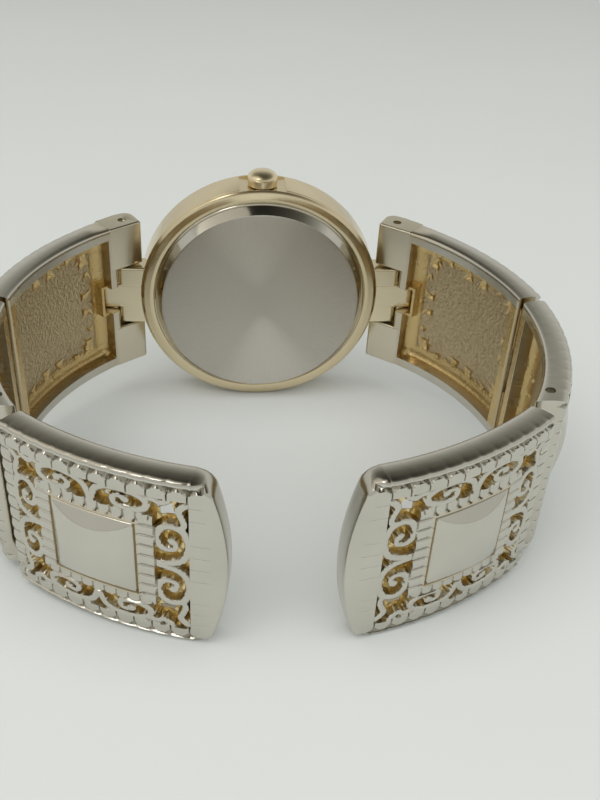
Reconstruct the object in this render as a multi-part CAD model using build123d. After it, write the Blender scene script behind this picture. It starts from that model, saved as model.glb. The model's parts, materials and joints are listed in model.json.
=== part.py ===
from build123d import *
from math import asin, atan2, cos, degrees, hypot, pi, radians, sin, sqrt
import os

# A cuff watch in gold and silver tone, in millimetres.
# It is laid out in the frame of its bracelet first: hinge pins along Z, crown up, the case axis along Y
# with the case back towards -Y, and the plane y = 0 on the crease of the case's back rim.
# At the end the whole watch is leaned onto the three points that it rests on, and its origin is put
# under the middle of its box.

# Case
case_radius = 17.0
case_side_depth = 5.6
case_rim_rise = 0.3
case_wall = 2.75
case_bore = case_radius - case_wall
rehaut_step = 0.75
rehaut_radius = case_bore - rehaut_step
rehaut_start = 3.6
rehaut_depth = 1.5

# Case back
back_flange_over = 0.9
back_flange_radius = case_bore + back_flange_over
back_bevel_inset = 1.15
back_bevel_rise = 1.5
back_claw_wall = 0.7
back_snap_depth = 1.35
back_clearance = 0.05
back_claw_width = 2.4
back_claw_angles = (30, 90, 150, 210, 270, 330)

# Crystal, dial and hands
crystal_clearance = 0.04
crystal_thickness = 1.25
dial_thickness = 0.4
dial_clearance = 0.12
marker_length = 2.2
marker_width = 0.55
marker_height = 0.25
marker_inset = 1.1
marker_count = 12
hand_thickness = 0.15
hand_gap = 0.22
hour_hand_share = 8 / 15
hour_hand_length = rehaut_radius * hour_hand_share
minute_hand_short = 2.9
minute_hand_length = rehaut_radius - minute_hand_short
hand_boss_wall = 0.35
hand_tail_share = 0.16
hand_tip_share = 0.25
hour_angle = 304.3
minute_angle = 51.6

# Movement
movement_radius = 9.0
movement_thickness = 2.7
holder_clearance = 0.08
holder_sides = 24
coil_sides = 10
movement_sides = 16
cover_thickness = 0.3
cover_radius_share = 0.93
battery_radius = 3.4
battery_thickness = 1.65
battery_x = -3.2
battery_z = -3.4
battery_clearance = 0.1
clip_width = 1.6
clip_thickness = 0.2
clip_turn = 45
coil_radius = 0.85
coil_length = 6.0
coil_x = 1.6
coil_z = 5.2
coil_core_height = 0.7
coil_core_over = 0.9
screw_radius = 0.55
screw_sides = 8
screw_height = 0.3
screw_ring_share = 0.8
screw_angles = (20, 75, 150)
cannon_radius = 0.48
hour_pipe_wall = 0.22
running_clearance = 0.03

# Crown
stem_y = 2.3
stem_radius = 0.45
crown_pull = 0.9
stem_hold = 0.1
stem_inner_reach = movement_radius - crown_pull - stem_hold
crown_radius = 2.05
crown_skirt = 1.25
crown_dome = 0.75
crown_gap = 0.1
crown_recess_clearance = 1.1
crown_recess_depth = 0.45
stem_grip = 0.8
clutch_length = 1.6
clutch_width = 1.5
clutch_gap = 0.05
clutch_side_clearance = 0.12

# Hinge lugs of the case
lug_height = 8.9
lug_radius = 1.7
lug_reach = 2.3
lug_pin_x = case_radius + lug_reach
lug_pin_y = 2.2
lug_tongue_height = 3.5
lug_tongue_length = 3.3
lug_tongue_thickness = 1.1
lug_tongue_drop = 1.85
lug_clearance = 0.25

# Bracelet panels
band_width = 22.3
panel_thickness = 3.4
web_thickness = 1.0
rail_thickness = 1.5
end_wall = 1.7
inner_panel_chord = 25.4
side_panel_chord = 22.8
end_panel_chord = 23.9
inner_panel_heading = -56.5
side_panel_heading = -101.1
end_panel_heading = -152.9
inner_panel_radius = 34.7
side_panel_radius = 34.5
end_panel_radius = 46.0
panel_gap = 0.5
side_end_outer_trim = 2.0
side_end_inner_trim = 0.15
end_start_outer_trim = 0.9
end_start_inner_trim = 1.4
free_end_bow = 2.0
free_end_border = 1.85

# Hinges between the panels; small holes have flats that touch their nominal circle
bore_sides = 16
knuckle_sides = 16
pin_radius = 0.5
pin_sink = 0.12
pin_fit = 0.015
knuckle_radius = 1.2
knuckle_clearance = 0.2
middle_knuckle_height = 6.4
inner_block = 2.2
inner_block_reach = 3.4
barrel_radius = 1.0
barrel_back = 3.0
barrel_drop = 0.55
barrel_tongue = 1.1
barrel_lift = 0.95

# Relief of the panels: ribbed ladder along the rails, sunk channel with scroll piercings,
# a raised square frame and a puffed square stud
ladder_width = 2.05
rib_pitch = 1.95
rib_groove_width = 0.75
rib_groove_depth = 0.35
frame_side = 12.7
channel_depth = 0.3
hinge_border = 1.45
side_channel = 2.6
end_side_channel = 3.4
stud_side = 9.7
stud_rise = 1.0
stud_slope = 45
scroll_outer = 1.05
scroll_inner = 0.42
scroll_spread = 2.9
scroll_sweep = 235
scroll_lead = 35
scroll_steps = 3
stem_opening = 0.95
corner_opening = 1.25
overrun = 1.0


def slab(outline, back, front):
    """A plate across the case axis, from depth back to depth front; outline is drawn in X and Z."""
    plane = Plane(origin=(0, front, 0), x_dir=(1, 0, 0), z_dir=(0, -1, 0))
    return extrude(plane * outline, amount=front - back)


def turned(*points):
    """A body turned about the case axis, from points of radius and depth."""
    return revolve(Polygon(*points, align=None), axis=Axis.Y)


def post(x, y, radius, low, high):
    """A round post along Z."""
    return Pos(x, y, (low + high) / 2) * Cylinder(radius, high - low)


def bore(x, y, radius, low, high):
    """The cut for a small hole along Z."""
    return Pos(x, y, low) * extrude(RegularPolygon(radius, bore_sides, major_radius=False), amount=high - low)


def along(point, heading, length):
    """The point at a length along a heading in the plan of the bracelet."""
    return (point[0] + length * cos(heading), point[1] + length * sin(heading))


class Panel:
    """The plan of one panel: an arc of the bracelet between two joint points."""

    def __init__(self, start, heading, chord, radius):
        self.start = start
        self.heading = radians(heading)
        self.chord = chord
        self.radius = radius
        self.middle_radius = radius - panel_thickness / 2
        self.end = along(start, self.heading, chord)
        self.half = asin(chord / 2 / self.middle_radius)
        self.outward = self.heading + pi / 2
        self.facets = round(self.length() / rib_pitch / 2)
        self.facet_angle = 2 * self.half / self.facets
        self.ribs = 2 * self.facets
        middle = along(start, self.heading, chord / 2)
        self.centre = along(middle, self.outward, -self.middle_radius * cos(self.half))

    def angle(self, run):
        """The polar angle at an arc length run from the start joint."""
        return self.outward + self.half - run / self.middle_radius

    def length(self):
        return 2 * self.half * self.middle_radius

    def rib_run(self, k):
        """The arc length at the groove between two ribs; two ribs share one flat of the panel."""
        return k * self.facet_angle / 2 * self.middle_radius

    def at(self, run, radius):
        """A plan point at an arc length and a radius, on its flat of the panel."""
        aside = (run / self.middle_radius) % self.facet_angle - self.facet_angle / 2
        flat = radius * cos(self.facet_angle / 2) / cos(aside)
        return along(self.centre, self.angle(run), flat)

    def line(self, runs, radius):
        """The points of the face between two runs, with a corner at every second groove."""
        corners = [self.rib_run(2 * k) for k in range(-self.facets, 2 * self.facets)]
        corners = [run for run in corners if runs[0] < run < runs[1]]
        return [self.at(run, radius) for run in (runs[0], *corners, runs[1])]

    def normal_plane(self, run, height, radius):
        """A plane on the face: X runs along the panel, Y is up, Z points out."""
        a = self.angle(run)
        x, y = self.at(run, radius)
        return Plane(origin=(x, y, height), x_dir=(sin(a), -cos(a), 0), z_dir=(cos(a), sin(a), 0))

    def sector(self, low, high, runs_out, runs_in, height):
        """A bent block between two radii, with its own ends on the outer and the inner line."""
        outline = self.line(runs_in, low) + self.line(runs_out, high)[::-1]
        return extrude(Polygon(*outline, align=None), amount=height / 2, both=True)


# Plan of the right half of the bracelet
first = Panel((lug_pin_x, lug_pin_y), inner_panel_heading, inner_panel_chord, inner_panel_radius)
second = Panel(first.end, side_panel_heading, side_panel_chord, side_panel_radius)
third = Panel(second.end, end_panel_heading, end_panel_chord, end_panel_radius)
lug_pin = first.start
middle_pin = first.end
front_pin = second.at(second.length() - barrel_back, second.middle_radius - barrel_drop)
rail_inside = band_width / 2 - rail_thickness


def scroll_slot(turn):
    """A C-shaped piercing, whose metal tongue curls in like the eye of a scroll."""
    points = []
    for k in range(scroll_steps + 1):
        a = radians(turn + scroll_sweep * k / scroll_steps)
        points.append((scroll_outer * cos(a), scroll_outer * sin(a)))
    for k in range(scroll_steps, -1, -1):
        a = radians(turn + scroll_sweep * k / scroll_steps)
        points.append((scroll_inner * cos(a), scroll_inner * sin(a)))
    return Polygon(*points, align=None)


def piercings(plan, run_middle, along_reach):
    """The scroll openings of one panel, two scrolls and a stem to each side of the square frame."""
    depth = web_thickness + stud_rise + overrun
    cuts = []
    rise = (band_width / 2 - ladder_width + frame_side / 2) / 2
    sides = [(0, rise, 0), (0, -rise, 180), (along_reach[1], 0, -90), (-along_reach[0], 0, 90)]
    for run, height, turn in sides:
        spin = radians(turn)
        for sign in (1, -1):
            offset = sign * scroll_spread
            x = run + offset * cos(spin)
            z = height + offset * sin(spin)
            start = -90 - scroll_sweep / 2 + sign * scroll_lead
            plane = plan.normal_plane(run_middle + x, z, plan.radius - web_thickness - overrun)
            cuts.append(extrude(plane * Rot(0, 0, turn) * scroll_slot(start), amount=depth))
        half = stem_opening / 2
        outline = Polygon((half, half), (-half, half), (0, -half), align=None)
        plane = plan.normal_plane(run_middle + run, height, plan.radius - web_thickness - overrun)
        cuts.append(extrude(plane * Rot(0, 0, turn) * outline, amount=depth))
    reach = corner_opening / 2
    for x, z in ((-along_reach[0], rise), (along_reach[1], rise), (-along_reach[0], -rise), (along_reach[1], -rise)):
        leaf = Polygon((reach, 0), (0, reach / 2), (-reach, 0), (0, -reach / 2), align=None)
        turn = degrees(atan2(z, x))
        plane = plan.normal_plane(run_middle + x, z, plan.radius - web_thickness - overrun)
        cuts.append(extrude(plane * Rot(0, 0, turn) * leaf, amount=depth))
    return cuts


def ladder_grooves(plan, first_run, last_run):
    """Notches between the ribs of the two ladder strips, open at the rails' edges."""
    half = rib_groove_width / 2
    outline = Polygon((0, -rib_groove_depth), (half, 0), (half, overrun), (-half, overrun), (-half, 0), align=None)
    length = ladder_width + overrun
    place = band_width / 2 - ladder_width + length / 2
    cuts = []
    for k in range(plan.ribs + 1):
        run = plan.rib_run(k)
        if not first_run < run < last_run:
            continue
        a = plan.angle(run)
        x, y = plan.at(run, plan.radius)
        for z in (place, -place):
            plane = Plane(origin=(x, y, z), x_dir=(sin(a), -cos(a), 0), z_dir=(0, 0, 1))
            cuts.append(extrude(plane * outline, amount=length / 2, both=True))
    return cuts


def stud(plan, run):
    """A puffed square: a shallow dome cut to a square with sloping edges."""
    corner = stud_side / 2 * sqrt(2)
    dome = (corner ** 2 + stud_rise ** 2) / (2 * stud_rise)
    base = extrude(Rectangle(stud_side, stud_side), amount=stud_rise + overrun, taper=stud_slope)
    ball = Pos(0, 0, stud_rise - dome) * Rot(90, 45, 0) * Sphere(dome)
    sag = corner ** 2 / (2 * plan.radius)
    root = Pos(0, 0, -sag / 2) * Box(stud_side, stud_side, sag)
    return plan.normal_plane(run, 0, plan.radius) * ((base & ball) + root)


def tray(plan, outs, ins, hollow):
    """A curved tray: a web outside and two rails, hollow on the wrist side between two runs."""
    low = plan.radius - panel_thickness
    body = plan.sector(low, plan.radius, outs, ins, band_width)
    inside = plan.sector(low - overrun, plan.radius - web_thickness, hollow, hollow, 2 * rail_inside)
    return body - inside


def carve(plan, body, run_middle, reach, rib_runs):
    """The relief of a face: channel, piercings, square frame, stud and ribbed ladders."""
    half = frame_side / 2
    ends = (run_middle - reach[0], run_middle + reach[1])
    height = band_width - 2 * ladder_width
    floor = plan.radius - channel_depth
    channel = plan.sector(floor, plan.radius + overrun, ends, ends, height)
    field = (run_middle - half, run_middle + half)
    channel -= plan.sector(floor - overrun, plan.radius + 2 * overrun, field, field, frame_side)
    middles = ((reach[0] + half) / 2, (reach[1] + half) / 2)
    cuts = [channel]
    cuts += piercings(plan, run_middle, middles)
    cuts += ladder_grooves(plan, rib_runs[0], rib_runs[1])
    return body - cuts + stud(plan, run_middle)


def knuckle(point, radius, low, high):
    """A hinge barrel about a joint point, with flats too fine to see."""
    outline = RegularPolygon(radius, knuckle_sides)
    return Pos(point[0], point[1], low) * extrude(outline, amount=high - low)


# Right inner panel: its end wraps the lug of the case, and it carries two knuckles for the side panel
inner_end = first.length() - panel_gap
inner_ends = (0, inner_end)
inner_hollow = (inner_block_reach, inner_end - end_wall)
inner_middle = (inner_block + inner_end) / 2
panel_reach = (frame_side / 2 + side_channel, frame_side / 2 + side_channel)
right_inner = tray(first, inner_ends, inner_ends, inner_hollow)
slot_half = lug_height / 2 + lug_clearance
right_inner += knuckle(lug_pin, inner_block, slot_half, band_width / 2)
right_inner += knuckle(lug_pin, inner_block, -band_width / 2, -slot_half)
rib_runs = (inner_block + rib_pitch / 2, inner_end - rib_pitch / 2)
right_inner = carve(first, right_inner, inner_middle, panel_reach, rib_runs)
slot_back = first.sector(first.radius - 2 * panel_thickness, first.radius + panel_thickness,
                         (-2 * inner_block, 0), (-2 * inner_block, 0), 2 * slot_half)
right_inner -= slot_back
right_inner -= knuckle(lug_pin, lug_radius + lug_clearance, -slot_half, slot_half)
notch_side = lug_tongue_height + 2 * lug_clearance
tongue_front = lug_pin_y - lug_tongue_drop + lug_tongue_thickness
notch_reach = lug_tongue_length + lug_clearance
notch_depth = tongue_front + lug_clearance + 2 * panel_thickness
notch_length = inner_block + notch_reach
notch_x = lug_pin_x + notch_reach - notch_length / 2
right_inner -= Pos(notch_x, tongue_front + lug_clearance - notch_depth / 2, 0) * Box(
    notch_length, notch_depth, notch_side)
knuckle_half = middle_knuckle_height / 2
knuckle_top = rail_inside - knuckle_clearance
recess = knuckle_radius + knuckle_clearance
side_knuckle_low = knuckle_half + knuckle_clearance
right_inner -= knuckle(middle_pin, recess, -side_knuckle_low, side_knuckle_low)
right_inner += knuckle(middle_pin, knuckle_radius, side_knuckle_low, knuckle_top)
right_inner += knuckle(middle_pin, knuckle_radius, -knuckle_top, -side_knuckle_low)
right_inner += post(*middle_pin, pin_radius, -side_knuckle_low, side_knuckle_low)
right_inner -= bore(*lug_pin, pin_radius + pin_fit, -band_width, band_width)

# Right side panel: one knuckle between those two, and an open end whose rails hold the front pin
side_length = second.length()
side_outs = (panel_gap, side_length - side_end_outer_trim)
side_ins = (panel_gap, side_length - side_end_inner_trim)
side_middle = (side_outs[0] + side_outs[1]) / 2
side_hollow = (panel_gap + end_wall, side_length + overrun)
right_side = tray(second, side_outs, side_ins, side_hollow)
rib_runs = (panel_gap + rib_pitch / 2, side_outs[1] - rib_pitch / 2)
right_side = carve(second, right_side, side_middle, panel_reach, rib_runs)
right_side -= knuckle(middle_pin, recess, knuckle_half, rail_inside)
right_side -= knuckle(middle_pin, recess, -rail_inside, -knuckle_half)
right_side += knuckle(middle_pin, knuckle_radius, -knuckle_half, knuckle_half)
right_side -= bore(*middle_pin, pin_radius + running_clearance, -rail_inside, rail_inside)
right_side -= bore(*front_pin, pin_radius + pin_fit, -band_width, band_width)

# Right end panel: a tongue with a hinge barrel reaches into the side panel; its free end is bowed
free_end = third.length() + free_end_bow
end_outs = (end_start_outer_trim, free_end)
end_ins = (end_start_inner_trim, free_end)
end_hollow = (end_start_inner_trim + end_wall, third.length() - free_end_border)
end_middle = end_start_outer_trim + hinge_border + end_side_channel + frame_side / 2
end_reach = (frame_side / 2 + end_side_channel, third.length() - free_end_border - end_middle)
right_end = tray(third, end_outs, end_ins, end_hollow)
rib_runs = (end_start_outer_trim + rib_pitch / 2, third.length() - free_end_border - rib_pitch / 2)
right_end = carve(third, right_end, end_middle, end_reach, rib_runs)
bow_radius = ((band_width / 2) ** 2 + free_end_bow ** 2) / (2 * free_end_bow)
bow_plane = third.normal_plane(free_end, 0, third.radius)
right_end &= bow_plane * Pos(-bow_radius, 0, 0) * Cylinder(bow_radius, 2 * third.radius)
barrel_top = rail_inside - knuckle_clearance
root = third.at(end_start_inner_trim + end_wall / 2, third.radius - panel_thickness + barrel_lift)
tongue_run = hypot(root[0] - front_pin[0], root[1] - front_pin[1])
tongue_turn = degrees(atan2(root[1] - front_pin[1], root[0] - front_pin[0]))
tongue = Pos(tongue_run / 2, 0, 0) * Box(tongue_run, barrel_tongue, 2 * barrel_top)
right_end += Pos(front_pin[0], front_pin[1], 0) * Rot(0, 0, tongue_turn) * tongue
right_end += knuckle(front_pin, barrel_radius, -barrel_top, barrel_top)
right_end -= bore(*front_pin, pin_radius + running_clearance, -band_width, band_width)

# Pins of the right half
pin_half = band_width / 2 - pin_sink
lug_pin_body = post(*lug_pin, pin_radius, -pin_half, pin_half)
front_pin_body = post(*front_pin, pin_radius, -pin_half, pin_half)

# Case with its two lugs
rim_back = -case_rim_rise
case_body = slab(Circle(case_radius), rim_back, case_side_depth)
case_body -= slab(Circle(rehaut_radius), rehaut_start, case_side_depth)
case_body -= slab(RegularPolygon(case_bore, holder_sides, major_radius=False), rim_back, rehaut_start)
tongue_back = tongue_front - lug_tongue_thickness
for side in (1, -1):
    stalk = lug_pin_x - (case_bore + case_radius) / 2
    block = Pos(side * (lug_pin_x - stalk / 2), lug_pin_y, 0) * Box(stalk, 2 * lug_radius, lug_height)
    block += post(side * lug_pin_x, lug_pin_y, lug_radius, -lug_height / 2, lug_height / 2)
    block += Pos(side * (lug_pin_x + lug_tongue_length / 2), tongue_back + lug_tongue_thickness / 2, 0) * Box(
        lug_tongue_length, lug_tongue_thickness, lug_tongue_height)
    case_body += block
    case_body -= bore(side * lug_pin_x, lug_pin_y, pin_radius + running_clearance, -lug_height, lug_height)
recess_floor = case_radius - crown_recess_depth
recess_side = 2 * (crown_radius + crown_recess_clearance)
case_body -= Pos(0, stem_y, recess_floor + recess_side / 2) * Box(recess_side, 2 * stem_y, recess_side)
case_body -= bore(0, stem_y, stem_radius + running_clearance, 0, case_radius)

# Case back: a bevelled disc with claws that snap into the bore
disc_back = rim_back - back_bevel_rise
disc_radius = back_flange_radius - back_bevel_inset
case_back = turned((0, disc_back), (disc_radius, disc_back), (back_flange_radius, rim_back), (0, rim_back))
claw_reach = sqrt((case_bore - back_clearance) ** 2 - (back_claw_width / 2) ** 2)
claw = Pos(claw_reach - back_claw_wall / 2, rim_back + back_snap_depth / 2, 0) * Box(
    back_claw_wall, back_snap_depth, back_claw_width)
for angle in back_claw_angles:
    case_back += Rot(0, angle, 0) * claw

# Crystal and dial
crystal_radius = rehaut_radius - crystal_clearance
crystal_back = rehaut_start + rehaut_depth
crystal = slab(Circle(crystal_radius), crystal_back, crystal_back + crystal_thickness)
dial_back = rehaut_start - dial_thickness
pipe_radius = cannon_radius + running_clearance + hour_pipe_wall
dial_outline = RegularPolygon(case_bore - dial_clearance, holder_sides, major_radius=False)
dial_hole = RegularPolygon(pipe_radius + dial_clearance, bore_sides)
dial = slab(dial_outline - dial_hole, dial_back, rehaut_start)


def hand_place(angle):
    """A turn of the dial plane to a clock angle, with twelve on +X and three on the crown's side."""
    return Rot(0, -angle, 0)


marker_middle = rehaut_radius - marker_inset - marker_length / 2
marker = Pos(marker_middle, rehaut_start + marker_height / 2, 0) * Box(marker_length, marker_height, marker_width)
hour_markers = [hand_place(360 * k / marker_count) * marker for k in range(marker_count)]


def hand(length, width, back, hollow, tail):
    """A leaf hand laid along +X, broadest at its bore."""
    tip = width * hand_tip_share / 2
    outline = Polygon((-tail, -tip), (0, -width / 2), (length, -tip), (length, tip), (0, width / 2), (-tail, tip),
                      align=None)
    outline -= RegularPolygon(hollow, bore_sides)
    return slab(outline, back, back + hand_thickness)


hour_back = rehaut_start + marker_height + hand_gap
minute_back = hour_back + hand_thickness + hand_gap
hour_hand = hand(hour_hand_length, 2 * (pipe_radius + hand_boss_wall), hour_back, pipe_radius,
                 hour_hand_length * hand_tail_share)
minute_hand = hand(minute_hand_length, 2 * (cannon_radius + hand_boss_wall), minute_back, cannon_radius,
                   minute_hand_length * hand_tail_share)
hour_hand = hand_place(hour_angle) * hour_hand
minute_hand = hand_place(minute_angle) * minute_hand


def pipe(outer, hollow, back, front):
    outline = RegularPolygon(outer, bore_sides)
    if hollow > 0:
        outline -= RegularPolygon(hollow, bore_sides, major_radius=False)
    return slab(outline, back, front)


# Movement: a round quartz module in a plastic ring, behind the dial
movement_back = dial_back - movement_thickness
works_depth = movement_thickness / 3
works_back = dial_back - works_depth
hour_wheel = pipe(pipe_radius, cannon_radius + running_clearance, works_back, hour_back + hand_thickness)
cannon_pinion = pipe(cannon_radius, 0, works_back, minute_back + hand_thickness)
cover_back = movement_back - cover_thickness
battery_back = cover_back
battery = Pos(battery_x, 0, battery_z) * slab(Circle(battery_radius), battery_back, battery_back + battery_thickness)
battery_room = 2 * (battery_radius + battery_clearance)
battery_well = Pos(battery_x, battery_back + (battery_thickness - overrun) / 2, battery_z) * Box(
    battery_room, battery_thickness + overrun, battery_room)
coil_y = movement_back + coil_radius
coil_round = extrude(Plane.YZ * RegularPolygon(coil_radius, coil_sides), amount=coil_length / 2, both=True)
coil = Pos(coil_x, coil_y, coil_z) * coil_round
coil += Pos(coil_x, coil_y, coil_z) * Box(coil_length + 2 * coil_core_over, coil_core_height, coil_core_height)
coil_room = Pos(coil_x, coil_y, coil_z) * Box(
    coil_length + 2 * (coil_core_over + battery_clearance), 2 * coil_radius, 2 * (coil_radius + battery_clearance))
clutch_high = stem_inner_reach - clutch_gap
clutch_low = clutch_high - clutch_length
clutch_width_room = clutch_width + 2 * clutch_side_clearance
stem_room_low = clutch_low - clutch_side_clearance
stem_room = Pos(0, stem_y, (stem_room_low + case_radius) / 2) * Box(
    clutch_width_room, clutch_width_room, case_radius - stem_room_low)
movement_plate = slab(RegularPolygon(movement_radius, movement_sides) - dial_hole, movement_back, dial_back)
movement_plate -= [battery_well, coil_room, stem_room]
circuit_cover = slab(RegularPolygon(movement_radius * cover_radius_share, movement_sides), cover_back, movement_back)
circuit_cover -= [battery_well, coil_room]
holder_back = rim_back + back_snap_depth
holder_hole = RegularPolygon(movement_radius + holder_clearance, movement_sides)
holder_ring = slab(dial_outline - holder_hole, holder_back, dial_back)
holder_ring -= stem_room
clip_length = 2 * (battery_radius + screw_radius * 2)
battery_clip = Pos(battery_x, battery_back - clip_thickness / 2, battery_z) * Rot(0, clip_turn, 0) * Box(
    clip_length, clip_thickness, clip_width)
screw_ring = movement_radius * cover_radius_share * screw_ring_share
cover_screws = []
for angle in screw_angles:
    a = radians(angle)
    screw = slab(RegularPolygon(screw_radius, screw_sides), cover_back - screw_height, cover_back)
    cover_screws.append(Pos(screw_ring * cos(a), 0, screw_ring * sin(a)) * screw)

# Crown, stem and clutch, along Z from the case side
crown_low = recess_floor + crown_gap
crown_cap = ((crown_radius ** 2 + crown_dome ** 2) / (2 * crown_dome))
crown_height = crown_skirt + crown_dome
crown = Pos(0, 0, crown_height / 2) * Cylinder(crown_radius, crown_height)
crown &= Pos(0, 0, crown_height - crown_cap) * Rot(90, 0, 0) * Sphere(crown_cap)
crown = Pos(0, stem_y, crown_low) * crown
crown -= bore(0, stem_y, stem_radius, 0, crown_low + stem_grip)
stem = post(0, stem_y, stem_radius, stem_inner_reach, crown_low + stem_grip)
clutch = Pos(0, stem_y, (clutch_low + clutch_high) / 2) * Box(clutch_width, clutch_width, clutch_length)

# All nodes, in the bracelet's frame; the left half mirrors the right one
right_half = {
    "inner_panel": right_inner,
    "side_panel": right_side,
    "end_panel": right_end,
    "lug_pin": lug_pin_body,
    "front_pin": front_pin_body,
}
nodes = {
    "case_body": case_body,
    "case_back": case_back,
    "crystal": crystal,
    "dial": dial,
    "hour_markers": hour_markers,
    "hour_hand": hour_hand,
    "minute_hand": minute_hand,
    "hour_wheel": hour_wheel,
    "cannon_pinion": cannon_pinion,
    "movement_plate": movement_plate,
    "circuit_cover": circuit_cover,
    "cover_screws": cover_screws,
    "battery": battery,
    "battery_clip": battery_clip,
    "coil": coil,
    "holder_ring": holder_ring,
    "crown": crown,
    "stem": stem,
    "clutch": clutch,
}
for name, shape in right_half.items():
    nodes["right_" + name] = shape
    nodes["left_" + name] = mirror(shape, about=Plane.YZ)

# The watch leans forward until the case and the lower edges of the end panels stand on one plane
corner = third.at(third.length(), third.radius)
lean = degrees(atan2(case_radius - band_width / 2, -corner[1]))
leaned = {}
for name, shape in nodes.items():
    solids = []
    for piece in shape if isinstance(shape, list) else [shape]:
        solids += piece.solids()
    leaned[name] = Rot(lean, 0, 0) * (solids[0] if len(solids) == 1 else Compound(solids))
whole = Compound(list(leaned.values())).bounding_box()
drop = Pos(-(whole.min.X + whole.max.X) / 2, -(whole.min.Y + whole.max.Y) / 2, -whole.min.Z)

os.makedirs("parts", exist_ok=True)
for name, shape in leaned.items():
    export_step(drop * shape, f"parts/{name}.step")


def placed(point):
    """A point of the bracelet's frame in the frame of the part."""
    return (drop * Rot(lean, 0, 0) * Pos(*point)).position


print("lean", round(lean, 4), "size", whole.size)
for name, point in (
    ("lug pin", (*lug_pin, 0)),
    ("middle pin", (*middle_pin, 0)),
    ("front pin", (*front_pin, 0)),
    ("stem", (0, stem_y, 0)),
    ("case back", (0, disc_back, 0)),
    ("case centre", (0, 0, 0)),
):
    print(name, [round(value, 4) for value in placed(point)])
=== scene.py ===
import bpy
import json
import math
import numpy as np
from mathutils import Matrix, Vector


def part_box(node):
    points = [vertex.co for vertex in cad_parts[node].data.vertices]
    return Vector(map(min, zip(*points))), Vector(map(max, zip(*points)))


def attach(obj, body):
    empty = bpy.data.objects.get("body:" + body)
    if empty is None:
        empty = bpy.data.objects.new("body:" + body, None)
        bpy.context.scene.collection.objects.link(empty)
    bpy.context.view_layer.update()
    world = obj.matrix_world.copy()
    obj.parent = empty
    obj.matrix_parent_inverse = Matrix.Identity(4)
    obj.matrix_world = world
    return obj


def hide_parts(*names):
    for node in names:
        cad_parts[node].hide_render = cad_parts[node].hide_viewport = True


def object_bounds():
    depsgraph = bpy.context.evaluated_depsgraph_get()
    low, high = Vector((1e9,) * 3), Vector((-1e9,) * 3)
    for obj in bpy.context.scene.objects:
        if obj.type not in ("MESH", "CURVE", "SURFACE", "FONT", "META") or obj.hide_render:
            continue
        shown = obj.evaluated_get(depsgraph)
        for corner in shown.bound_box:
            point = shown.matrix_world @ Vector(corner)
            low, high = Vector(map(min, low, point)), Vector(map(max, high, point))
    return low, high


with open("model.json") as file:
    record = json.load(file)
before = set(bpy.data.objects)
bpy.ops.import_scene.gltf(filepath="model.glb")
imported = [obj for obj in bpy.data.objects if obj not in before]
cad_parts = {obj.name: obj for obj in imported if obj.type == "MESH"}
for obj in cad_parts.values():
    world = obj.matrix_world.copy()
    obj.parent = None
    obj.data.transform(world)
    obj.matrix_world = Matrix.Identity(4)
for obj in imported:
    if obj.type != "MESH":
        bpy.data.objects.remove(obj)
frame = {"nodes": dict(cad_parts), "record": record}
cadLow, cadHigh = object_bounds()
mm = 0.001
sides = (("right", 1), ("left", -1))

# The bracelet is drawn upright with its pins along Z, then leaned and moved as the solids are
stand = {"lean": 6.1934, "y": 23.5213, "z": 16.9331}


# One wrapped socket, so that shader maths reads as arithmetic
class Wire:
    def __init__(self, paint, socket):
        self.paint = paint
        self.socket = socket

    def op(self, operation, *values):
        return self.paint.make("ShaderNodeMath", {"operation": operation}, *values)

    def __add__(self, other):
        return self.op("ADD", self, other)

    __radd__ = __add__

    def __mul__(self, other):
        return self.op("MULTIPLY", self, other)

    __rmul__ = __mul__

    def __sub__(self, other):
        return self.op("SUBTRACT", self, other)

    def __rsub__(self, other):
        return self.op("SUBTRACT", other, self)

    def ramp(self, low, high):
        return self.paint.make("ShaderNodeMapRange", {"interpolation_type": "SMOOTHSTEP"}, self, low, high)


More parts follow.
